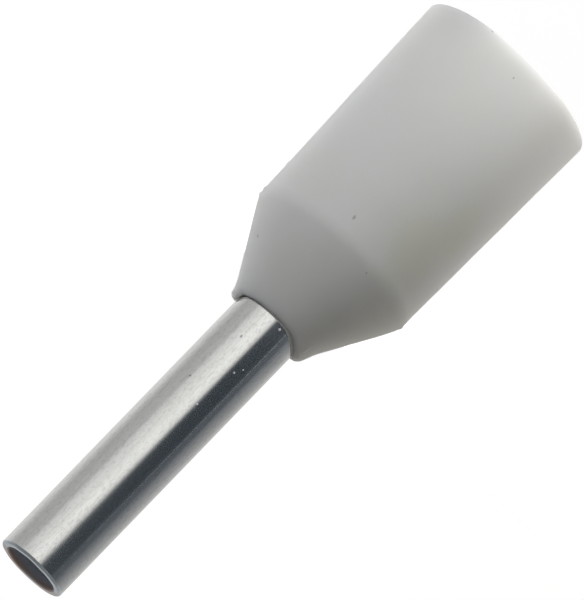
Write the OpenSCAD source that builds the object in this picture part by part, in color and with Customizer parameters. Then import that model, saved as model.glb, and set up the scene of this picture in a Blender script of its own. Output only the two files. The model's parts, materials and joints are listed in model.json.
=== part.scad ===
// Insulated wire ferrule: a flared metal tube pushed through a moulded plastic collar.
// The ferrule stands on the collar's mouth, with the tube pointing up. Sizes are in millimetres.

/* [Tube] */
// Outside diameter of the metal tube
tube_od = 1.34; // [1.1:0.02:1.5]
// Wall thickness of the metal tube
tube_wall = 0.15; // [0.1:0.01:0.2]
// Length of tube that stands out of the collar
pin_length = 5.88; // [4:0.02:12]
// Rounding of the tip's outer edge
tip_round = 0.04; // [0.01:0.01:0.06]
// Rounding of the tip's inner edge
tip_deburr = 0.02; // [0.01:0.01:0.03]

/* [Flare] */
// How far the flare's rim stands out beyond the tube, on each side
flare_spread = 0.38; // [0.2:0.02:0.5]
// Radius of the bend between the tube and its flare, on the outside
bend_round = 0.15; // [0.05:0.01:0.25]
// Rounding of the two edges of the flare's rim
rim_round = 0.03; // [0.01:0.01:0.04]

/* [Collar] */
// Diameter of the collar's bore, which takes the wire's insulation
bore_d = 2.8; // [2.6:0.05:3.4]
// Wall thickness at the mouth
mouth_wall = 0.37; // [0.3:0.01:0.5]
// Length from the mouth to the shoulder
barrel_length = 4.46; // [3:0.02:6]
// Slope of the barrel's side, in degrees, so that it narrows towards the shoulder
side_draft = 1.22; // [0.2:0.02:2]
// Length of the cone from the shoulder to the neck
cone_length = 1.54; // [1.2:0.02:2.4]
// Wall thickness of the cone, measured square to its surface
cone_wall = 0.27; // [0.2:0.01:0.36]
// Rounding of both edges of the mouth
mouth_round = 0.05; // [0.02:0.01:0.1]
// Radius of the shoulder
shoulder_round = 0.5; // [0.1:0.1:1.2]
// Radius between the bore and the funnel inside
funnel_round = 0.3; // [0.1:0.1:0.6]

/* [Neck] */
// Gap all round between the tube and the collar's neck
neck_gap = 0.01; // [0:0.005:0.03]
// Wall thickness of the neck that closes round the tube
neck_wall = 0.15; // [0.1:0.01:0.22]
// Length of the straight neck beyond the cone
neck_length = 0.12; // [0.08:0.01:0.3]
// Rounding of the neck's free edge
neck_round = 0.06; // [0.02:0.01:0.07]

/* [Hidden] */
$fn = 96;

// How far the cut that rounds a corner starts outside it
cut_margin = 0.01;
// How far a rounding arc crosses the two edges that it joins, so that it meets them cleanly
arc_crossing = 0.0001;

// Radii
tube_r = tube_od / 2;
neck_bore_r = tube_r + neck_gap;
neck_r = neck_bore_r + neck_wall;
bore_r = bore_d / 2;
mouth_r = bore_r + mouth_wall;
shoulder_r = mouth_r - barrel_length * tan(side_draft);
rim_r = tube_r + flare_spread;

// Heights above the mouth
cone_end = barrel_length + cone_length;
collar_length = cone_end + neck_length;
tip_height = collar_length + pin_length;

// The cone, the funnel inside it and the tube's flare all lie at one angle to the axis
cone_angle = atan((shoulder_r - neck_r) / cone_length);
funnel_shoulder_r = shoulder_r - cone_wall / cos(cone_angle);

// Height at which the funnel has a given radius
function funnel_height(r) = barrel_length + (funnel_shoulder_r - r) / tan(cone_angle);

// Direction that runs straight through the flare's wall, and the height that a bend takes up in it
wall_normal = [cos(cone_angle), sin(cone_angle)];
wall_drop = tube_wall * tan(cone_angle / 2);

flare_start = [tube_r, funnel_height(tube_r)];
flare_rim = [rim_r, funnel_height(rim_r)];

// Sections on one side of the axis, counter-clockwise. Each corner is [radius, height, rounding].
COLLAR_SECTION = [
    [bore_r, 0, mouth_round],
    [mouth_r, 0, mouth_round],
    [shoulder_r, barrel_length, shoulder_round],
    [neck_r, cone_end, 0],
    [neck_r, collar_length, neck_round],
    [neck_bore_r, collar_length, 0],
    [neck_bore_r, funnel_height(neck_bore_r), bend_round],
    [bore_r, funnel_height(bore_r), funnel_round]
];

TUBE_SECTION = [
    concat(flare_rim - tube_wall * wall_normal, rim_round),
    concat(flare_rim, rim_round),
    concat(flare_start, bend_round),
    [tube_r, tip_height, tip_round],
    [tube_r - tube_wall, tip_height, tip_deburr],
    concat(flare_start - [tube_wall, wall_drop], bend_round + tube_wall)
];

// Unit vector from one point to another
function toward(from, to) = (to - from) / norm(to - from);

// The place of corner i, counted round the section in either direction
function place(section, i) =
    let (corner = section[(i + len(section)) % len(section)])
    [corner.x, corner.y];

// True where the section bends outward at corner i, so that rounding it takes material away
function is_outward(section, i) =
    let (
        arriving = place(section, i) - place(section, i - 1),
        leaving = place(section, i + 1) - place(section, i)
    )
    arriving.x * leaving.y > arriving.y * leaving.x;

// Where the arc that rounds corner i starts, has its centre and ends
function arc_places(section, i) =
    let (
        corner = place(section, i),
        back = toward(corner, place(section, i - 1)),
        ahead = toward(corner, place(section, i + 1)),
        half_angle = acos(back * ahead) / 2,
        reach = section[i][2] / tan(half_angle),
        depth = section[i][2] / sin(half_angle)
    )
    [corner + reach * back, corner + depth * toward([0, 0], back + ahead), corner + reach * ahead];

// The section's straight edges. An inward corner gives way to the line between the ends of its arc.
function straight_edges(section) = [
    for (i = [0:len(section) - 1])
        let (arc = arc_places(section, i))
        each section[i][2] > 0 && !is_outward(section, i) ? [arc[0], arc[2]] : [place(section, i)]
];

// The disc whose edge is the arc of corner i
module arc_disc(section, i) {
    translate(arc_places(section, i)[1])
        circle(section[i][2] + arc_crossing);
}

// What rounding takes off outward corner i. It starts a little past the corner, to cut it off cleanly.
module corner_trim(section, i) {
    arc = arc_places(section, i);
    past_corner = place(section, i) + cut_margin * toward(arc[1], place(section, i));
    difference() {
        polygon([past_corner, arc[2], arc[1], arc[0]]);
        arc_disc(section, i);
    }
}

// A section with its corners rounded
module rounded_section(section) {
    difference() {
        polygon(straight_edges(section));
        for (i = [0:len(section) - 1])
            if (section[i][2] > 0)
                if (is_outward(section, i)) corner_trim(section, i);
                else arc_disc(section, i);
    }
}

// Tin-plated tube, open at both ends, with a flare that seats in the collar's funnel
module crimp_tube() {
    color("silver")
        rotate_extrude()
            rounded_section(TUBE_SECTION);
}

// Moulded collar: a wide barrel for the wire's insulation, a cone, and a neck round the tube
module insulating_collar() {
    color("gainsboro")
        rotate_extrude()
            rounded_section(COLLAR_SECTION);
}

crimp_tube();
insulating_collar();
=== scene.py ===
"""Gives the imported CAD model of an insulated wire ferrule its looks.

The ferrule is two pieces: a drawn and tin-plated copper tube, and the white collar moulded for the wire's
insulation. It stands on the collar's mouth with the tube pointing up. Sizes here are in millimetres, and
meshes are scaled to the scene's metres as they are made. An azimuth is in degrees, 0 towards -Y (where the
camera stands) and 90 towards +X.
"""

import json
import logging
import math
from dataclasses import dataclass, field
from enum import Enum
from typing import Any, Callable, Iterable, Sequence

import bpy
from mathutils import Matrix, Vector, noise


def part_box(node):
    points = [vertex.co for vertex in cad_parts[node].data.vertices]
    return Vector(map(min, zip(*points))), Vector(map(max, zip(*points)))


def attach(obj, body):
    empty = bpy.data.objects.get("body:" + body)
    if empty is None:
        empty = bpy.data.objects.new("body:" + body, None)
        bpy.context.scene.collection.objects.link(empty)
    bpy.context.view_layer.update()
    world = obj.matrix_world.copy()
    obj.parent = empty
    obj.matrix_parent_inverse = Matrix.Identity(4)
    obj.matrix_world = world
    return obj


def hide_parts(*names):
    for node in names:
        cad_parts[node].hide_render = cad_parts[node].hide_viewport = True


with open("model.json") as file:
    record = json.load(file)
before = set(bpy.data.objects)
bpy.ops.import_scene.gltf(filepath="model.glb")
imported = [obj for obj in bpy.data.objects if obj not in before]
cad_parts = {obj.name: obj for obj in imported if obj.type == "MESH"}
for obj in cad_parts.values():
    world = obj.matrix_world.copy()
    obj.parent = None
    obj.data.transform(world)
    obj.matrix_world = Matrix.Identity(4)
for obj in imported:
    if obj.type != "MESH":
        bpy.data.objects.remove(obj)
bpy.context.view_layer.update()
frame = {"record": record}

log = logging.getLogger("wire_ferrule")

MM = 0.001

# How far beyond a rounding arc its holding points lie: a share of the radius, and the most that it may be
HOLD_SHARE = 0.2
LONGEST_HOLD = 0.02

Colour = tuple[float, float, float]
Point = tuple[float, float]
Shift = Callable[[float, float, float], Point]


class Slot(Enum):
    """The record's material slots."""

    TINNED_COPPER = "tinned_copper"
    WHITE_PLASTIC = "white_plastic"


# Shapes


@dataclass(frozen=True)
class Corner:
    """A corner of a turned section: its radius and height, and the radius that rounds it."""

    radius: float
    height: float
    rounding: float


def on_axis(azimuth: float, radius: float, height: float) -> Vector:
    """Finds the place at an azimuth, radius and height, all in millimetres and degrees.

    Args:
        azimuth: Degrees from -Y towards +X.
        radius: Distance from the ferrule's axis.
        height: Height above the mouth.

    Returns:
        The place in millimetres.
    """
    turn = math.radians(azimuth)
    return Vector((radius * math.sin(turn), -radius * math.cos(turn), height))


def rounded(corners: Sequence[Corner], steps: int) -> list[Vector]:
    """Rounds the corners of a closed section.

    A point just beyond each end of an arc holds the shading of the flats beside it.

    Args:
        corners: The section's corners, counter-clockwise.
        steps: How many stretches each rounding arc has.

    Returns:
        Points of the section as (radius, height).
    """
    points = []
    for index, corner in enumerate(corners):
        before = corners[index - 1]
        after = corners[(index + 1) % len(corners)]
        here = Vector((corner.radius, corner.height))
        back = (Vector((before.radius, before.height)) - here).normalized()
        ahead = (Vector((after.radius, after.height)) - here).normalized()
        half_angle = back.angle(ahead) / 2
        reach = corner.rounding / math.tan(half_angle)
        centre = here + (back + ahead).normalized() * corner.rounding / math.sin(half_angle)
        start = here + back * reach - centre
        end = here + ahead * reach - centre
        first = math.atan2(start.y, start.x)
        sweep = math.remainder(math.atan2(end.y, end.x) - first, math.tau)
        hold = min(HOLD_SHARE * corner.rounding, LONGEST_HOLD)
        points.append(here + back * (reach + hold))
        for step in range(steps + 1):
            angle = first + sweep * step / steps
            points.append(centre + corner.rounding * Vector((math.cos(angle), math.sin(angle))))
        points.append(here + ahead * (reach + hold))
    return points


def spaced(points: Sequence[Vector], longest: float) -> list[Vector]:
    """Adds points to a closed section's long stretches.

    Args:
        points: Points of the section.
        longest: The longest stretch that may stay.

    Returns:
        The section's points with the added ones.
    """
    result = []
    for index, point in enumerate(points):
        after = points[(index + 1) % len(points)]
        pieces = max(1, math.ceil((after - point).length / longest))
        result += [point.lerp(after, piece / pieces) for piece in range(pieces)]
    return result


def turned(name: str, section: Sequence[Vector], segments: int, shift: Shift) -> bpy.types.Object:
    """Turns a closed section round the axis.

    Args:
        name: The new object's name.
        section: The section's points as (radius, height).
        segments: How many segments go round.
        shift: Gives how far a place (radius, height, azimuth) lies outward and upward of its true form.

    Returns:
        The new object, in metres, with smooth shading.
    """
    places = []
    for segment in range(segments):
        azimuth = 360 * segment / segments
        for radius, height in section:
            outward, upward = shift(radius, height, azimuth)
            places.append(on_axis(azimuth, radius + outward, height + upward) * MM)
    count = len(section)
    faces = []
    for segment in range(segments):
        this = segment * count
        that = (segment + 1) % segments * count
        for index in range(count):
            after = (index + 1) % count
            faces.append((this + index, that + index, that + after, this + after))
    mesh = bpy.data.meshes.new(name)
    mesh.from_pydata([tuple(place) for place in places], [], faces)
    mesh.shade_smooth()
    piece = bpy.data.objects.new(name, mesh)
    bpy.context.scene.collection.objects.link(piece)
    return piece


def hump(distance: float, reach: float) -> float:
    """Gives a smooth hump: 1 at no distance, falling to 0 at its reach and beyond."""
    share = min(abs(distance) / reach, 1.0)
    return (1 - share * share) ** 2


def share_between(value: float, start: float, end: float) -> float:
    """Gives how far a value has gone from start to end: 0 before the start, and 1 past the end."""
    return min(max((value - start) / (end - start), 0.0), 1.0)


# Node trees


class Graph:
    """Adds nodes to one node tree, with their inputs set or linked in the same call."""

    def __init__(self, tree: bpy.types.NodeTree) -> None:
        """Starts on a tree, which may already hold nodes."""
        self.tree = tree

    def add(self, kind: str, inputs: dict[str | int, Any] | None = None, **settings: Any) -> bpy.types.Node:
        """Adds a node.

        Args:
            kind: The node's type, without its "ShaderNode" prefix.
            inputs: Values or output sockets for its inputs, by name or number.
            settings: The node's own settings.

        Returns:
            The new node.
        """
        node = self.tree.nodes.new("ShaderNode" + kind)
        for setting, value in settings.items():
            setattr(node, setting, value)
        for key, value in (inputs or {}).items():
            if isinstance(value, bpy.types.NodeSocket):
                self.tree.links.new(value, node.inputs[key])
            else:
                node.inputs[key].default_value = value
        return node

    def math(self, operation: str, *values: Any, clamp: bool = False) -> bpy.types.NodeSocket:
        """Adds a Math node and returns its output."""
        return self.add("Math", dict(enumerate(values)), operation=operation, use_clamp=clamp).outputs[0]

    def total(self, base: Any, *terms: tuple[Any, float], clamp: bool = False) -> bpy.types.NodeSocket:
        """Adds weighted values to a base.

        Args:
            base: A value or an output socket.
            terms: Pairs of an output socket and its weight.
            clamp: Whether the sum stays within 0 to 1.

        Returns:
            The sum's output.
        """
        for value, weight in terms:
            base = self.math("ADD", base, self.math("MULTIPLY", value, weight), clamp=clamp)
        return base

    def product(self, first: Any, *others: Any) -> bpy.types.NodeSocket:
        """Multiplies values and returns the product's output."""
        for other in others:
            first = self.math("MULTIPLY", first, other)
        return first

    def ramp(self, value: Any, low: float, high: float, to_low: float = 0.0,
             to_high: float = 1.0) -> bpy.types.NodeSocket:
        """Adds a clamped, smooth Map Range node from low..high to to_low..to_high and returns its output."""
        inputs = {"Value": value, "From Min": low, "From Max": high, "To Min": to_low, "To Max": to_high}
        return self.add("MapRange", inputs, interpolation_type="SMOOTHSTEP").outputs["Result"]

    def tint(self, factor: Any, base: Any, other: Any) -> bpy.types.NodeSocket:
        """Adds a colour mix from base to other by factor and returns its output."""
        node = self.add("Mix", {0: factor}, data_type="RGBA")
        for index, colour in ((6, base), (7, other)):
            if isinstance(colour, bpy.types.NodeSocket):
                self.tree.links.new(colour, node.inputs[index])
            else:
                node.inputs[index].default_value = (*colour, 1.0)
        return node.outputs[2]

    def group(self, tree: bpy.types.NodeTree, inputs: dict[str, Any]) -> bpy.types.Node:
        """Places a node group, with its own values or output sockets for its inputs, by name."""
        return self.add("Group", inputs, node_tree=tree)


def new_group(name: str, inputs: dict[str, str],
              outputs: dict[str, str]) -> tuple[Graph, bpy.types.Node, bpy.types.Node]:
    """Starts a shader node group.

    Args:
        name: The group's name.
        inputs: Socket types of its inputs, by name, without their "NodeSocket" prefix.
        outputs: The same for its outputs.

    Returns:
        The group's graph, its input node and its output node.
    """
    tree = bpy.data.node_groups.new(name, "ShaderNodeTree")
    for sockets, direction in ((inputs, "INPUT"), (outputs, "OUTPUT")):
        for label, kind in sockets.items():
            tree.interface.new_socket(name=label, in_out=direction, socket_type="NodeSocket" + kind)
    return Graph(tree), tree.nodes.new("NodeGroupInput"), tree.nodes.new("NodeGroupOutput")


def grain_group() -> bpy.types.NodeTree:
    """Makes the group for even grain, such as orange peel, blotches or a peppery plating.

    Returns:
        A group with inputs Size (mm) and Detail, and output Grain, 0 to 1.
    """
    graph, given, result = new_group("Grain", {"Size": "Float", "Detail": "Float"}, {"Grain": "Float"})
    place = graph.add("TexCoord").outputs["Object"]
    per_metre = graph.math("DIVIDE", 1 / MM, given.outputs["Size"])
    texture = graph.add("TexNoise", {"Vector": place, "Scale": per_metre, "Detail": given.outputs["Detail"],
                                     "Roughness": 0.6})
    graph.tree.links.new(texture.outputs["Fac"], result.inputs["Grain"])
    return graph.tree


def lines_group() -> bpy.types.NodeTree:
    """Makes the group for fine lines along the axis, as drawing a tube or leaving a mould makes them.

    Returns:
        A group with inputs Width and Length (mm), and output Lines, 0 to 1.
    """
    graph, given, result = new_group("Axial Lines", {"Width": "Float", "Length": "Float"}, {"Lines": "Float"})
    place = graph.add("TexCoord").outputs["Object"]
    width_over_length = graph.math("DIVIDE", given.outputs["Width"], given.outputs["Length"])
    flatten = graph.add("CombineXYZ", {0: 1.0, 1: 1.0, 2: width_over_length})
    stretched = graph.add("VectorMath", {0: place, 1: flatten.outputs[0]}, operation="MULTIPLY")
    per_metre = graph.math("DIVIDE", 1 / MM, given.outputs["Width"])
    texture = graph.add("TexNoise", {"Vector": stretched.outputs[0], "Scale": per_metre, "Detail": 3.0,
                                     "Roughness": 0.65})
    graph.tree.links.new(texture.outputs["Fac"], result.inputs["Lines"])
    return graph.tree


def speck_group() -> bpy.types.NodeTree:
    """Makes the group for one small mark at a known place.

    Returns:
        A group with inputs Place (m), Radius (mm) and Tall, the mark's height over its width, and output
        Mask, 1 inside the mark.
    """
    sockets = {"Place": "Vector", "Radius": "Float", "Tall": "Float"}
    graph, given, result = new_group("Speck", sockets, {"Mask": "Float"})
    place = graph.add("TexCoord").outputs["Object"]
    away = graph.add("VectorMath", {0: place, 1: given.outputs["Place"]}, operation="SUBTRACT")
    squeeze = graph.add("CombineXYZ", {0: 1.0, 1: 1.0, 2: graph.math("DIVIDE", 1.0, given.outputs["Tall"])})
    even = graph.add("VectorMath", {0: away.outputs[0], 1: squeeze.outputs[0]}, operation="MULTIPLY")
    distance = graph.add("VectorMath", {0: even.outputs[0]}, operation="LENGTH").outputs["Value"]
    wobble = graph.add("TexNoise", {"Vector": place, "Scale": 25 / MM, "Detail": 2.0}).outputs["Fac"]
    radii = graph.math("DIVIDE", graph.math("DIVIDE", distance, MM), given.outputs["Radius"])
    edge = graph.total(radii, (graph.math("SUBTRACT", wobble, 0.5), 1.6))
    graph.tree.links.new(graph.ramp(edge, 1.25, 0.6), result.inputs["Mask"])
    return graph.tree


def scatter_group() -> bpy.types.NodeTree:
    """Makes the group for specks strewn at random.

    Returns:
        A group with inputs Spacing (mm), Size (a share of the spacing) and Share, the part of the places
        that hold a speck, and output Mask, 1 inside a speck.
    """
    sockets = {"Spacing": "Float", "Size": "Float", "Share": "Float"}
    graph, given, result = new_group("Scattered Specks", sockets, {"Mask": "Float"})
    place = graph.add("TexCoord").outputs["Object"]
    per_metre = graph.math("DIVIDE", 1 / MM, given.outputs["Spacing"])
    cells = graph.add("TexVoronoi", {"Vector": place, "Scale": per_metre, "Randomness": 1.0})
    near = graph.math("SUBTRACT", 1.0, graph.math("DIVIDE", cells.outputs["Distance"], given.outputs["Size"]))
    lot = graph.add("SeparateColor", {0: cells.outputs["Color"]}).outputs[0]
    present = graph.math("LESS_THAN", lot, given.outputs["Share"])
    mask = graph.math("MULTIPLY", graph.ramp(near, 0.0, 0.5), present)
    graph.tree.links.new(mask, result.inputs["Mask"])
    return graph.tree


@dataclass(frozen=True)
class Effects:
    """The node groups that both finishes use."""

    grain: bpy.types.NodeTree
    lines: bpy.types.NodeTree
    speck: bpy.types.NodeTree
    scatter: bpy.types.NodeTree

    @classmethod
    def made(cls) -> "Effects":
        """Makes the groups."""
        return cls(grain_group(), lines_group(), speck_group(), scatter_group())


@dataclass(frozen=True)
class Mark:
    """A small mark on a surface: its height and azimuth, its size, and its height over its width."""

    height: float
    azimuth: float
    radius: float
    tall: float = 1.0


def marked(graph: Graph, effects: Effects, marks: Iterable[Mark],
           radius_at: Callable[[float], float]) -> bpy.types.NodeSocket:
    """Adds a speck group for each mark and joins their masks.

    Args:
        graph: The material's graph.
        effects: The shared node groups.
        marks: The marks.
        radius_at: Gives the surface's radius at a height.

    Returns:
        The joined mask.
    """
    joined: Any = 0.0
    for mark in marks:
        place = on_axis(mark.azimuth, radius_at(mark.height), mark.height) * MM
        speck = graph.group(effects.speck, {"Place": place, "Radius": mark.radius, "Tall": mark.tall})
        joined = graph.math("MAXIMUM", joined, speck.outputs["Mask"])
    return joined


def new_material(name: str) -> tuple[bpy.types.Material, Graph, bpy.types.Node]:
    """Makes a material with an empty tree but for its output.

    Args:
        name: The material's name.

    Returns:
        The material, its graph and its output node.
    """
    material = bpy.data.materials.new(name)
    material.use_nodes = True
    material.node_tree.nodes.clear()
    graph = Graph(material.node_tree)
    return material, graph, graph.add("OutputMaterial")


# Finishes


@dataclass(frozen=True)
class TinPlating:
    """Bright satin tin over drawn copper, with the lines of the draw and the copper bare at the cut."""

    tin: Colour = (0.82, 0.82, 0.815)
    tarnish: Colour = (0.66, 0.66, 0.65)
    copper: Colour = (0.64, 0.42, 0.32)
    pit: Colour = (0.12, 0.12, 0.12)
    # Painted shade: this colour tints the bore's lining darker and bluer than the tin, standing in for the
    # shade deep inside the bore.
    bore_shade: Colour = (0.52, 0.56, 0.66)
    roughness: float = 0.13
    worn_roughness: float = 0.20
    drawn: float = 0.5
    inner_metal: float = 0.6
    light_specks: tuple[Mark, ...] = (
        Mark(6.15, -18, 0.020), Mark(7.25, -14, 0.018), Mark(8.1, -7, 0.014), Mark(7.1, -21, 0.012))
    scratches: tuple[Mark, ...] = (
        Mark(9.05, -31.5, 0.011, 280), Mark(8.2, 27, 0.009, 160), Mark(10.3, 15, 0.008, 110),
        Mark(7.4, 9, 0.008, 70))
    dark_pits: tuple[Mark, ...] = (
        Mark(6.7, 16, 0.020, 1.5), Mark(6.16, 76, 0.018, 1.4), Mark(7.8, 31, 0.018, 1.6))

    def material(self, effects: Effects, tube: "CrimpTube") -> bpy.types.Material:
        """Makes the plating for a tube.

        Args:
            effects: The shared node groups.
            tube: The tube that wears it.

        Returns:
            The material.
        """
        material, graph, output = new_material("tin_plating")
        place = graph.add("SeparateXYZ", {0: graph.add("TexCoord").outputs["Object"]})
        height = graph.math("DIVIDE", place.outputs["Z"], MM)
        squares = [graph.math("POWER", place.outputs[axis], 2.0) for axis in "XY"]
        from_axis = graph.math("DIVIDE", graph.math("SQRT", graph.math("ADD", *squares)), MM)
        bore = tube.radius - tube.wall
        inside = graph.ramp(from_axis, bore + 0.03, bore + 0.01)

        fine = graph.group(effects.lines, {"Width": 0.03, "Length": 0.9}).outputs["Lines"]
        broad = graph.group(effects.lines, {"Width": 0.12, "Length": 5.0}).outputs["Lines"]
        pepper = graph.group(effects.lines, {"Width": 0.045, "Length": 0.09}).outputs["Lines"]
        bloom = graph.group(effects.grain, {"Size": 0.8, "Detail": 3.0}).outputs["Grain"]
        strewn = graph.group(effects.scatter, {"Spacing": 0.16, "Size": 0.16, "Share": 0.25}).outputs["Mask"]
        light = marked(graph, effects, self.light_specks, tube.radius_at)
        scratched = marked(graph, effects, self.scratches, tube.radius_at)
        dark = marked(graph, effects, self.dark_pits, tube.radius_at)

        near_tip = graph.ramp(height, tube.tip - 0.12, tube.tip - 0.02)
        off_outer_edge = graph.ramp(from_axis, tube.radius - 0.005, tube.radius - 0.04)
        behind = graph.ramp(place.outputs["Y"], -0.3 * MM, 0.4 * MM)
        patchy = graph.ramp(bloom, 0.3, 0.6, 0.4, 0.9)
        bare = graph.product(near_tip, off_outer_edge, behind, patchy)

        colour = graph.tint(graph.ramp(bloom, 0.4, 0.7, 0.0, 0.2), self.tin, self.tarnish)
        darkening = ((fine, 0.5, 0.75, 0.5), (broad, 0.5, 0.75, 0.4), (pepper, 0.45, 0.7, 0.8))
        for texture, low, high, share in darkening:
            colour = graph.tint(graph.ramp(texture, low, high, 0.0, share), colour, self.tarnish)
        colour = graph.tint(graph.math("MULTIPLY", dark, 0.6), colour, self.pit)
        # Painted shade: the bore's lining is tinted darker and bluer.
        colour = graph.tint(graph.math("MULTIPLY", inside, 0.6), colour, self.bore_shade)
        colour = graph.tint(bare, colour, self.copper)

        rough = graph.ramp(height, tube.neck, tube.tip, self.roughness, self.worn_roughness)
        rough = graph.total(rough, (graph.math("SUBTRACT", pepper, 0.5), 0.08), (inside, 0.45),
                            (scratched, 0.12), (light, 0.4), clamp=True)
        relief = graph.total(0.0, (fine, 0.35), (broad, 0.5), (pepper, 0.10), (strewn, -0.15),
                             (dark, -1.2), (scratched, -0.35), (light, 1.5))
        normal = graph.add("Bump", {"Height": relief, "Strength": 0.25, "Distance": 0.002 * MM})

        metal = graph.ramp(inside, 0.0, 1.0, 1.0, self.inner_metal)
        shader = graph.add("BsdfPrincipled", {
            "Base Color": colour, "Metallic": metal, "Roughness": rough, "Anisotropic": self.drawn,
            "Normal": normal.outputs[0]})
        graph.tree.links.new(shader.outputs[0], output.inputs["Surface"])
        return material


@dataclass(frozen=True)
class WhitePlastic:
    """Moulded white plastic, satin and a little translucent."""

    white: Colour = (0.67, 0.67, 0.655)
    cream: Colour = (0.655, 0.655, 0.56)
    # Painted light: this paler tone lights up the band on the cone just above the shoulder.
    pale: Colour = (0.71, 0.72, 0.71)
    speck: Colour = (0.28, 0.28, 0.26)
    roughness: float = 0.48
    scatter_radius: float = 0.9
    scatter_tint: Colour = (1.0, 0.97, 0.9)
    dark_specks: tuple[Mark, ...] = (
        Mark(4.1, 7, 0.026, 1.8), Mark(5.2, 68, 0.024, 1.9), Mark(4.6, -22, 0.016), Mark(0.4, -3, 0.016),
        Mark(3.8, 87, 0.018), Mark(0.03, 24, 0.02))
    # Two large cream-tinted patches low on the barrel's -X side.
    cream_patches: tuple[Mark, ...] = (Mark(3.7, -36, 0.62, 1.2), Mark(2.9, -48, 0.45, 1.4))

    def material(self, effects: Effects, collar: "InsulatingCollar") -> bpy.types.Material:
        """Makes the plastic for a collar.

        Args:
            effects: The shared node groups.
            collar: The collar that wears it.

        Returns:
            The material.
        """
        material, graph, output = new_material("moulded_plastic")
        peel = graph.group(effects.grain, {"Size": 0.10, "Detail": 3.0}).outputs["Grain"]
        cloud = graph.group(effects.grain, {"Size": 1.6, "Detail": 2.0}).outputs["Grain"]
        scuffs = graph.group(effects.lines, {"Width": 0.05, "Length": 1.6}).outputs["Lines"]
        strewn = graph.group(effects.scatter, {"Spacing": 0.9, "Size": 0.025, "Share": 0.3}).outputs["Mask"]
        dark = marked(graph, effects, self.dark_specks, collar.radius_at)
        cream_patch_mask = marked(graph, effects, self.cream_patches, collar.radius_at)

        height = graph.add("SeparateXYZ", {0: graph.add("TexCoord").outputs["Object"]}).outputs["Z"]
        # Painted light: a paler band on the cone just above the shoulder, broken up by the cloud grain,
        # stands in for the soft sheen and glow there and eases the shading across the shoulder.
        top = collar.barrel_length * MM
        past_shoulder = graph.ramp(height, top - 0.1 * MM, top + 0.1 * MM)
        fading_up_cone = graph.ramp(height, top + 0.6 * MM, top + 0.1 * MM)
        painted_light_band = graph.product(past_shoulder, fading_up_cone, graph.ramp(cloud, 0.4, 0.6, 0.1, 0.7))
        # The cream tint comes from the cloud grain and from the two patches on the barrel's -X side.
        warm = graph.total(graph.ramp(cloud, 0.45, 0.65, 0.0, 0.15), (cream_patch_mask, 0.55), clamp=True)
        colour = graph.tint(painted_light_band, self.white, self.pale)
        colour = graph.tint(warm, colour, self.cream)
        spots = graph.math("MAXIMUM", dark, graph.math("MULTIPLY", strewn, 0.5))
        colour = graph.tint(graph.math("MULTIPLY", spots, 0.7), colour, self.speck)

        worn = graph.ramp(scuffs, 0.62, 0.75)
        rough = graph.total(self.roughness, (graph.math("SUBTRACT", peel, 0.5), 0.12), (worn, -0.08))
        relief = graph.total(0.0, (peel, 0.8), (scuffs, 0.35), (dark, 0.8))
        normal = graph.add("Bump", {"Height": relief, "Strength": 0.3, "Distance": 0.006 * MM})

        shader = graph.add("BsdfPrincipled", {
            "Base Color": colour, "Roughness": rough, "IOR": 1.49, "Normal": normal.outputs[0],
            "Subsurface Weight": 1.0, "Subsurface Radius": self.scatter_tint,
            "Subsurface Scale": self.scatter_radius * MM})
        graph.tree.links.new(shader.outputs[0], output.inputs["Surface"])
        return material


# The ferrule's pieces


@dataclass
class Ferrule:
    """Driving sizes of the ferrule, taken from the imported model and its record."""

    tip: float
    collar_top: float
    mouth_radius: float
    rim_radius: float
    tube_radius: float
    bore_radius: float

    @classmethod
    def measured(cls) -> "Ferrule":
        """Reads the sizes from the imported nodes' boxes and the record's mounts."""
        tube_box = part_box("crimp_tube")
        collar_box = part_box("insulating_collar")
        mounts = {mount["name"]: mount["dims"] for mount in frame["record"]["mounts"]}
        return cls(
            tip=tube_box[1].z / MM, collar_top=collar_box[1].z / MM, mouth_radius=collar_box[1].x / MM,
            rim_radius=tube_box[1].x / MM, tube_radius=mounts["pin"]["r_mm"],
            bore_radius=mounts["insulation_bore"]["r_mm"])


@dataclass(frozen=True)
class Burr:
    """A small rise of flash on the moulding: its height and azimuth, how wide it is and how far it rises."""

    height: float
    azimuth: float
    reach: float
    rise: float


@dataclass(frozen=True)
class Flash:
    """Flash where the moulding closes on the tube, thickest at one azimuth.

    It reaches so many degrees to each side, and rises more at the tube than at its outer edge.
    """

    azimuth: float
    reach: float
    outer_rise: float
    rise_at_tube: float

    def share_at(self, azimuth: float) -> float:
        """How much of the flash stands at an azimuth, 0 to 1."""
        return hump(math.remainder(azimuth - self.azimuth, 360), self.reach)


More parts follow.
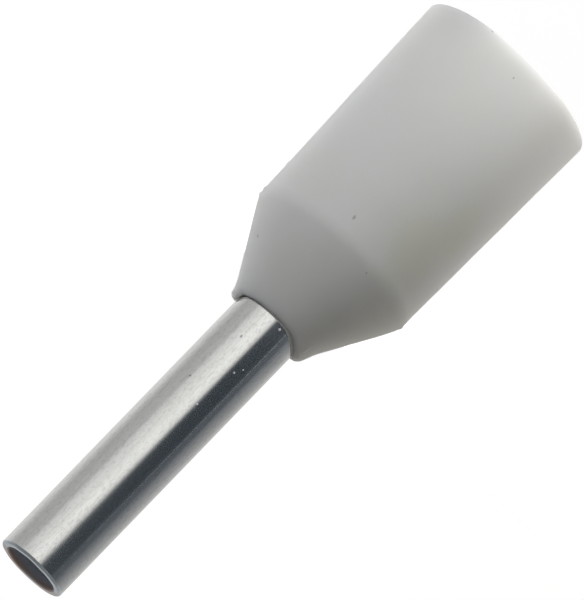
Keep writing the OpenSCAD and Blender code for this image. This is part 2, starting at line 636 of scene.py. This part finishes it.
@dataclass
class InsulatingCollar:
    """The moulded collar: a barrel, and a cone whose rounded end closes round the tube, with flash on it."""

    ferrule: Ferrule
    finish: WhitePlastic = field(default_factory=WhitePlastic)
    burrs: tuple[Burr, ...] = (
        Burr(4.50, 90, 0.09, 0.035), Burr(4.38, 87, 0.05, 0.025), Burr(3.79, 90, 0.05, 0.025),
        Burr(4.47, -90, 0.09, 0.025), Burr(5.99, -62, 0.07, 0.025))
    nub: Flash = Flash(88, 22, 0.09, 0.12)
    bead: Flash = Flash(-87, 62, 0.10, 0.15)
    flash_depth: float = 0.35
    nub_swell: float = 0.02
    swell_drop: float = 0.09
    swell_reach: float = 0.12
    barrel_length: float = 4.46
    cone_length: float = 1.54
    side_draft: float = 1.22
    neck_gap: float = 0.01
    neck_wall: float = 0.15
    cone_wall: float = 0.27
    mouth_round: float = 0.02
    shoulder_round: float = 0.5
    funnel_round: float = 0.3
    neck_drop: float = 0.07
    neck_round: float = 0.10
    neck_edge_round: float = 0.01
    bend_round: float = 0.15
    skin: float = 0.12
    mouth_edge: float = 0.1
    unevenness: float = 0.004
    unevenness_scale: float = 1.3
    off_centre: float = 0.022
    set_back_right: Point = (0.8, 3.5)
    set_back_left: Point = (4.2, 4.8)
    segments: int = 288
    arc_steps: int = 8
    longest_stretch: float = 0.07

    @property
    def shoulder_radius(self) -> float:
        """The radius where the barrel meets the cone."""
        return self.ferrule.mouth_radius - self.barrel_length * math.tan(math.radians(self.side_draft))

    @property
    def neck_bore(self) -> float:
        """The radius of the hole that holds the tube."""
        return self.ferrule.tube_radius + self.neck_gap

    @property
    def cone_angle(self) -> float:
        """The slope of the cone, the funnel and the flare against the axis, in radians."""
        return math.atan((self.shoulder_radius - self.neck_bore - self.neck_wall) / self.cone_length)

    @property
    def neck_top(self) -> float:
        """The height where the moulding ends, away from its flash."""
        return self.ferrule.collar_top - self.neck_drop

    @property
    def neck_radius(self) -> float:
        """The cone's radius where the moulding ends."""
        return self.shoulder_radius - (self.neck_top - self.barrel_length) * math.tan(self.cone_angle)

    def funnel_height(self, radius: float) -> float:
        """The height at which the funnel inside has a radius."""
        funnel_shoulder = self.shoulder_radius - self.cone_wall / math.cos(self.cone_angle)
        return self.barrel_length + (funnel_shoulder - radius) / math.tan(self.cone_angle)

    def radius_at(self, height: float) -> float:
        """The outside radius at a height."""
        if height < self.barrel_length:
            return self.ferrule.mouth_radius - height * math.tan(math.radians(self.side_draft))
        down = (height - self.barrel_length) * math.tan(self.cone_angle)
        return max(self.shoulder_radius - down, self.neck_radius)

    def section(self) -> list[Corner]:
        """The collar's section, counter-clockwise from the bore's edge at the mouth."""
        bore = self.ferrule.bore_radius
        top = self.neck_top
        return [
            Corner(bore, 0, self.mouth_round),
            Corner(self.ferrule.mouth_radius, 0, self.mouth_round),
            Corner(self.shoulder_radius, self.barrel_length, self.shoulder_round),
            Corner(self.neck_radius, top, self.neck_round),
            Corner(self.neck_bore, top, self.neck_edge_round),
            Corner(self.neck_bore, self.funnel_height(self.neck_bore), self.bend_round),
            Corner(bore, self.funnel_height(bore), self.funnel_round)]

    def flaws(self, radius: float, height: float, azimuth: float) -> Point:
        """Gives how far the moulding strays from its true form, mostly at the mould's parting line.

        Args:
            radius: Distance from the axis.
            height: Height above the mouth.
            azimuth: Degrees from -Y towards +X.

        Returns:
            The outward and upward shifts.
        """
        collar_top = self.ferrule.collar_top
        near_end = hump(height - collar_top, self.flash_depth)
        inward = share_between(radius, self.neck_radius, self.neck_bore)
        upward = 0.0
        for flash in (self.nub, self.bead):
            rise = flash.outer_rise + inward * (flash.rise_at_tube - flash.outer_rise)
            upward += near_end * flash.share_at(azimuth) * rise
        if radius < self.radius_at(height) - self.skin or height < self.mouth_edge:
            return 0.0, upward
        place = on_axis(azimuth, radius, height)
        outward = self.unevenness * noise.noise(place * self.unevenness_scale)
        for burr in self.burrs:
            away = place - on_axis(burr.azimuth, self.radius_at(burr.height), burr.height)
            outward += burr.rise * hump(away.length, burr.reach)
        swell = hump(height - (collar_top - self.swell_drop), self.swell_reach)
        outward += self.nub_swell * self.nub.share_at(azimuth) * swell
        side = math.sin(math.radians(azimuth))
        starts, ends = self.set_back_right if side > 0 else self.set_back_left
        outward -= self.off_centre * side * share_between(height, starts, ends)
        return outward, upward

    def build(self, effects: Effects) -> bpy.types.Object:
        """Makes the collar, dresses it and ties it to the frame.

        Args:
            effects: The shared node groups.

        Returns:
            The collar.
        """
        section = spaced(rounded(self.section(), self.arc_steps), self.longest_stretch)
        collar = turned("moulded_collar", section, self.segments, self.flaws)
        collar.data.materials.append(self.finish.material(effects, self))
        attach(collar, "root")
        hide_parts("insulating_collar")
        return collar


@dataclass
class CrimpTube:
    """The drawn tube, flared at the end that seats in the collar's funnel."""

    ferrule: Ferrule
    collar: InsulatingCollar
    finish: TinPlating = field(default_factory=TinPlating)
    wall: float = 0.15
    tip_round: float = 0.04
    tip_deburr: float = 0.03
    rim_round: float = 0.03
    bend_round: float = 0.15
    tip_rise: float = 0.03
    tip_lean: float = 0.025
    tip_wobble: float = 0.006
    wobble_size: float = 2.5
    lean_length: float = 0.5
    segments: int = 288
    arc_steps: int = 8
    longest_stretch: float = 0.12

    @property
    def radius(self) -> float:
        """The tube's outside radius."""
        return self.ferrule.tube_radius

    @property
    def tip(self) -> float:
        """The height of the tube's open tip."""
        return self.ferrule.tip

    @property
    def neck(self) -> float:
        """The height where the tube comes out of the collar."""
        return self.ferrule.collar_top

    def radius_at(self, height: float) -> float:
        """The outside radius at a height above the flare."""
        return self.radius

    def section(self) -> list[Corner]:
        """The tube's section, counter-clockwise from the inner edge of the flare's rim."""
        slope = self.collar.cone_angle
        rim_height = self.collar.funnel_height(self.ferrule.rim_radius)
        start_height = self.collar.funnel_height(self.radius)
        return [
            Corner(self.ferrule.rim_radius - self.wall * math.cos(slope),
                   rim_height - self.wall * math.sin(slope), self.rim_round),
            Corner(self.ferrule.rim_radius, rim_height, self.rim_round),
            Corner(self.radius, start_height, self.bend_round),
            Corner(self.radius, self.tip, self.tip_round),
            Corner(self.radius - self.wall, self.tip, self.tip_deburr),
            Corner(self.radius - self.wall, start_height - self.wall * math.tan(slope / 2),
                   self.bend_round + self.wall)]

    def flaws(self, radius: float, height: float, azimuth: float) -> Point:
        """Gives how far the tube strays from its true form: its end is cut a little out of square.

        Args:
            radius: Distance from the axis.
            height: Height above the mouth.
            azimuth: Degrees from -Y towards +X.

        Returns:
            The outward and upward shifts.
        """
        near_tip = share_between(height, self.tip - self.lean_length, self.tip)
        lean = self.tip_rise + self.tip_lean * math.cos(math.radians(azimuth))
        wobble = self.tip_wobble * noise.noise(on_axis(azimuth, self.wobble_size, 0))
        return 0.0, near_tip * (lean + wobble)

    def build(self, effects: Effects) -> bpy.types.Object:
        """Makes the tube, dresses it and ties it to the frame.

        Args:
            effects: The shared node groups.

        Returns:
            The tube.
        """
        section = spaced(rounded(self.section(), self.arc_steps), self.longest_stretch)
        tube = turned("plated_tube", section, self.segments, self.flaws)
        tube.data.materials.append(self.finish.material(effects, self))
        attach(tube, "root")
        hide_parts("crimp_tube")
        return tube


# The studio


@dataclass(frozen=True)
class Lamp:
    """A square softbox: its place, its size, its brightness and its tint. It faces the ferrule."""

    name: str
    azimuth: float
    distance: float
    height: float
    size: float
    watts: float
    colour: Colour = (1.0, 1.0, 1.0)


@dataclass(frozen=True)
class Glow:
    """A round patch of floor that lights the ferrule: its place, its size, its brightness and its tint."""

    azimuth: float
    distance: float
    radius: float
    strength: float
    colour: Colour


@dataclass(frozen=True)
class Panel:
    """A card or flag of the tent: the azimuths where it begins and ends, and its tone at each."""

    name: str
    begins: float
    ends: float
    first_tone: float
    last_tone: float


@dataclass
class Studio:
    """Floor, soft lamps, surrounding light and the panels that the bright tube mirrors."""

    centre_height: float
    floor_radius: float = 400.0
    floor_white: float = 0.80
    seen_white: float = 0.95
    shade_depth: float = 0.12
    glow_edge: float = 0.2
    tent_radius: float = 19.0
    tent_foot: float = 0.02
    tent_top: float = 9.5
    canopy_height: float = 42.0
    canopy_front: float = 0.20
    canopy_back_low: float = 0.55
    canopy_back_high: float = 0.16
    canopy_turn: Point = (-0.2, 0.7)
    canopy_fade: float = 0.8
    screen_segments: int = 90
    cool_grey: Colour = (0.92, 1.0, 1.06)
    even_light: float = 0.14
    even_colour: Colour = (1.04, 1.0, 0.92)
    glows: tuple[Glow, ...] = (
        Glow(0, 0, 12.0, 0.28, (0.98, 1.0, 1.03)), Glow(0, 4.0, 2.5, 0.60, (1.01, 1.0, 1.0)),
        Glow(-45, 4.0, 2.5, 0.43, (1.03, 1.0, 0.96)))
    lamps: tuple[Lamp, ...] = (
        Lamp("low_softbox", 40, 22, 2, 12, 0.0023, (0.98, 1.0, 1.03)),
        Lamp("low_back_softbox", 180, 20, 1, 12, 0.005, (1.0, 1.0, 1.06)),
        Lamp("left_rim_softbox", 140, 60, 10, 40, 0.022, (0.98, 1.0, 1.03)),
        Lamp("right_rim_softbox", -140, 60, 10, 40, 0.011, (1.08, 1.0, 0.84)),
        Lamp("overhead_softbox", 0, 20, 80, 60, 0.0034))
    mid_tone: float = 0.25
    cool: Colour = (0.76, 1.0, 1.27)
    plain: Colour = (1.0, 1.0, 1.0)
    warm: Colour = (0.99, 1.0, 0.965)
    panels: tuple[Panel, ...] = (
        Panel("right back card", -180, -150, 0.66, 0.56), Panel("right grey card", -130, -85, 0.42, 0.18),
        Panel("dim strip", -77, -62, 0.10, 0.11), Panel("dark flag", -56, -14, 0.05, 0.05),
        Panel("key card", -4, 12, 0.88, 1.0), Panel("left pale card", 24, 56, 0.92, 0.67),
        Panel("left grey card", 60, 100, 0.50, 0.42), Panel("left back card", 133, 180, 0.74, 0.80))

    def floor(self) -> bpy.types.Object:
        """Makes the pale floor, which shows white and keeps the ferrule's shadow.

        Returns:
            The floor.
        """
        rim = [tuple(on_axis(angle, self.floor_radius, 0) * MM) for angle in range(0, 360, 5)]
        mesh = bpy.data.meshes.new("floor")
        mesh.from_pydata(rim, [], [tuple(range(len(rim)))])
        floor = bpy.data.objects.new("floor", mesh)
        bpy.context.scene.collection.objects.link(floor)
        material, graph, output = new_material("pale_floor")
        place = graph.add("TexCoord").outputs["Object"]
        lighting = graph.add("BsdfDiffuse", {"Color": (self.floor_white,) * 3 + (1.0,)})
        for glow in self.glows:
            centre = on_axis(glow.azimuth, glow.distance, 0) * MM
            distance = graph.add("VectorMath", {0: place, 1: centre}, operation="DISTANCE").outputs["Value"]
            edge = (1 + self.glow_edge) * glow.radius * MM
            level = graph.ramp(distance, edge, (1 - self.glow_edge) * glow.radius * MM, 0.0, glow.strength)
            patch = graph.add("Emission", {"Color": (*glow.colour, 1.0), "Strength": level})
            lighting = graph.add("AddShader", {0: lighting.outputs[0], 1: patch.outputs[0]})
        shade = graph.add("BsdfDiffuse", {"Color": (self.shade_depth,) * 3 + (1.0,)})
        white = graph.add("Emission", {"Strength": self.seen_white})
        look = graph.add("AddShader", {0: shade.outputs[0], 1: white.outputs[0]})
        seen = self.seen_directly(graph)
        mixed = graph.add("MixShader", {0: seen, 1: lighting.outputs[0], 2: look.outputs[0]})
        graph.tree.links.new(mixed.outputs[0], output.inputs["Surface"])
        mesh.materials.append(material)
        return floor

    def seen_directly(self, graph: Graph) -> bpy.types.NodeSocket:
        """Gives 1 to rays from the camera, a reflection or through glass, and 0 to light on the object."""
        path = graph.add("LightPath")
        mirrored = graph.math("MAXIMUM", path.outputs["Is Glossy Ray"], path.outputs["Is Transmission Ray"])
        return graph.math("MAXIMUM", path.outputs["Is Camera Ray"], mirrored)

    def screen(self, name: str, profile: Sequence[Point], material: bpy.types.Material) -> bpy.types.Object:
        """Turns a profile into a screen round the ferrule that only reflections see.

        Args:
            name: The screen's name.
            profile: Its radii and heights, from the bottom up.
            material: What it wears.

        Returns:
            The screen.
        """
        segments = self.screen_segments
        places = [tuple(on_axis(360 * turn / segments, radius, height) * MM)
                  for radius, height in profile for turn in range(segments)]
        faces = [(ring * segments + turn, ring * segments + (turn + 1) % segments,
                  (ring + 1) * segments + (turn + 1) % segments, (ring + 1) * segments + turn)
                 for ring in range(len(profile) - 1) for turn in range(segments)]
        mesh = bpy.data.meshes.new(name)
        mesh.from_pydata(places, [], faces)
        mesh.materials.append(material)
        screen = bpy.data.objects.new(name, mesh)
        bpy.context.scene.collection.objects.link(screen)
        screen.visible_camera = False
        screen.visible_diffuse = False
        screen.visible_transmission = False
        screen.visible_volume_scatter = False
        screen.visible_shadow = False
        return screen

    def tent(self) -> bpy.types.Object:
        """Makes the ring of light and dark panels that the tube's side mirrors.

        Returns:
            The tent.
        """
        material, graph, output = new_material("tent_panels")
        place = graph.add("SeparateXYZ", {0: graph.add("TexCoord").outputs["Object"]})
        azimuth = graph.math("ARCTAN2", place.outputs["X"], graph.math("MULTIPLY", place.outputs["Y"], -1.0))
        turn = graph.math("ADD", graph.math("DIVIDE", azimuth, math.tau), 0.5)
        ramp = graph.add("ValToRGB", {0: turn})
        ends = [end for panel in self.panels
                for end in ((panel.begins, panel.first_tone), (panel.ends, panel.last_tone))]
        stops = ramp.color_ramp.elements
        while len(stops) < len(ends):
            stops.new(0.5)
        for stop, (angle, tone) in zip(stops, ends):
            stop.position = angle / 360 + 0.5
            stop.color = (*self.tinted(tone), 1.0)
        glow = graph.add("Emission", {"Color": ramp.outputs[0], "Strength": 1.0})
        graph.tree.links.new(glow.outputs[0], output.inputs["Surface"])
        profile = [(self.tent_radius, self.tent_foot), (self.tent_radius, self.tent_top)]
        return self.screen("reflection_tent", profile, material)

    def canopy(self) -> bpy.types.Object:
        """Makes the dim screen over the tent, which the rims and the collar mirror.

        Returns:
            The canopy.
        """
        material, graph, output = new_material("canopy_screen")
        place = graph.add("SeparateXYZ", {0: graph.add("TexCoord").outputs["Object"]})
        fade_end = self.canopy_fade * self.canopy_height * MM
        back = graph.ramp(place.outputs["Z"], self.tent_top * MM, fade_end, self.canopy_back_low,
                          self.canopy_back_high)
        starts, ends = (share * self.tent_radius * MM for share in self.canopy_turn)
        tone = graph.ramp(place.outputs["Y"], starts, ends, self.canopy_front, back)
        glow = graph.add("Emission", {"Color": (*self.cool_grey, 1.0), "Strength": tone})
        graph.tree.links.new(glow.outputs[0], output.inputs["Surface"])
        steps = 12
        profile = [(self.tent_radius, self.tent_top)]
        for step in range(1, steps + 1):
            turn = math.radians(90 * step / steps)
            rise = (self.canopy_height - self.tent_top) * math.sin(turn)
            profile.append((self.tent_radius * math.cos(turn), self.tent_top + rise))
        return self.screen("reflection_canopy", profile, material)

    def tinted(self, tone: float) -> Colour:
        """Gives a panel's colour: cool where it is dark, plain in the middle, a little warm where bright."""
        if tone < self.mid_tone:
            low, high, share = self.cool, self.plain, tone / self.mid_tone
        else:
            low, high, share = self.plain, self.warm, min((tone - self.mid_tone) / (1 - self.mid_tone), 1.0)
        return tuple(tone * (a + (b - a) * share) for a, b in zip(low, high))

    def lamp(self, lamp: Lamp) -> bpy.types.Object:
        """Makes one softbox.

        Args:
            lamp: The softbox's values.

        Returns:
            The light.
        """
        data = bpy.data.lights.new(lamp.name, "AREA")
        data.size = lamp.size * MM
        data.energy = lamp.watts
        data.color = lamp.colour
        light = bpy.data.objects.new(lamp.name, data)
        light.location = on_axis(lamp.azimuth, lamp.distance, lamp.height) * MM
        aim = Vector((0, 0, self.centre_height * MM)) - light.location
        light.rotation_euler = aim.to_track_quat("-Z", "Y").to_euler()
        light.visible_camera = False
        light.visible_glossy = False
        bpy.context.scene.collection.objects.link(light)
        return light

    def surroundings(self) -> None:
        """Makes the light from all round: white where it is seen, and dim and even where it lights."""
        world = bpy.data.worlds.new("surroundings")
        bpy.context.scene.world = world
        world.use_nodes = True
        world.node_tree.nodes.clear()
        graph = Graph(world.node_tree)
        output = graph.add("OutputWorld")
        soft = graph.add("Background", {"Color": (*self.even_colour, 1.0), "Strength": self.even_light})
        white = graph.add("Background", {"Color": (1.0, 1.0, 1.0, 1.0), "Strength": 1.0})
        seen = self.seen_directly(graph)
        mixed = graph.add("MixShader", {0: seen, 1: soft.outputs[0], 2: white.outputs[0]})
        graph.tree.links.new(mixed.outputs[0], output.inputs["Surface"])

    def build(self) -> None:
        """Sets up the whole studio."""
        self.floor()
        self.tent()
        self.canopy()
        self.surroundings()
        for lamp in self.lamps:
            self.lamp(lamp)


@dataclass
class Viewpoint:
    """The camera: where it stands round the ferrule, how it is rolled, and where it aims."""

    centre_height: float
    elevation: float = 15.33
    roll: float = -135.94
    distance: float = 340.0
    lens: float = 1200.0
    nearest: float = 10.0
    farthest: float = 2000.0
    aside: Point = (0.379, 0.379)

    def build(self) -> bpy.types.Object:
        """Makes the camera and hands it to the scene.

        Returns:
            The camera.
        """
        rise = math.radians(self.elevation)
        turn = math.radians(self.roll)
        back = Vector((0, -math.cos(rise), math.sin(rise)))
        level_up = Vector((0, math.sin(rise), math.cos(rise)))
        across = Vector((1, 0, 0))
        right = across * math.cos(turn) + level_up * math.sin(turn)
        up = level_up * math.cos(turn) - across * math.sin(turn)
        aim = Vector((0, 0, self.centre_height)) + self.aside[0] * right + self.aside[1] * up
        data = bpy.data.cameras.new("camera")
        data.lens = self.lens
        data.clip_start = self.nearest * MM
        data.clip_end = self.farthest * MM
        camera = bpy.data.objects.new("camera", data)
        bpy.context.scene.collection.objects.link(camera)
        axes = Matrix((right, up, back)).transposed().to_4x4()
        camera.matrix_world = Matrix.Translation((aim + back * self.distance) * MM) @ axes
        bpy.context.scene.camera = camera
        return camera


def main() -> None:
    """Builds the ferrule's pieces and the studio round them."""
    logging.basicConfig(level=logging.INFO, format="%(name)s: %(message)s")
    bpy.context.scene.view_settings.view_transform = "Standard"
    ferrule = Ferrule.measured()
    centre_height = ferrule.tip / 2
    Viewpoint(centre_height).build()
    effects = Effects.made()
    collar = InsulatingCollar(ferrule)
    tube = CrimpTube(ferrule, collar)
    for part in (tube, collar):
        piece = part.build(effects)
        log.info("%s: %d faces", piece.name, len(piece.data.polygons))
    Studio(centre_height).build()


if __name__ == "__main__":
    main()
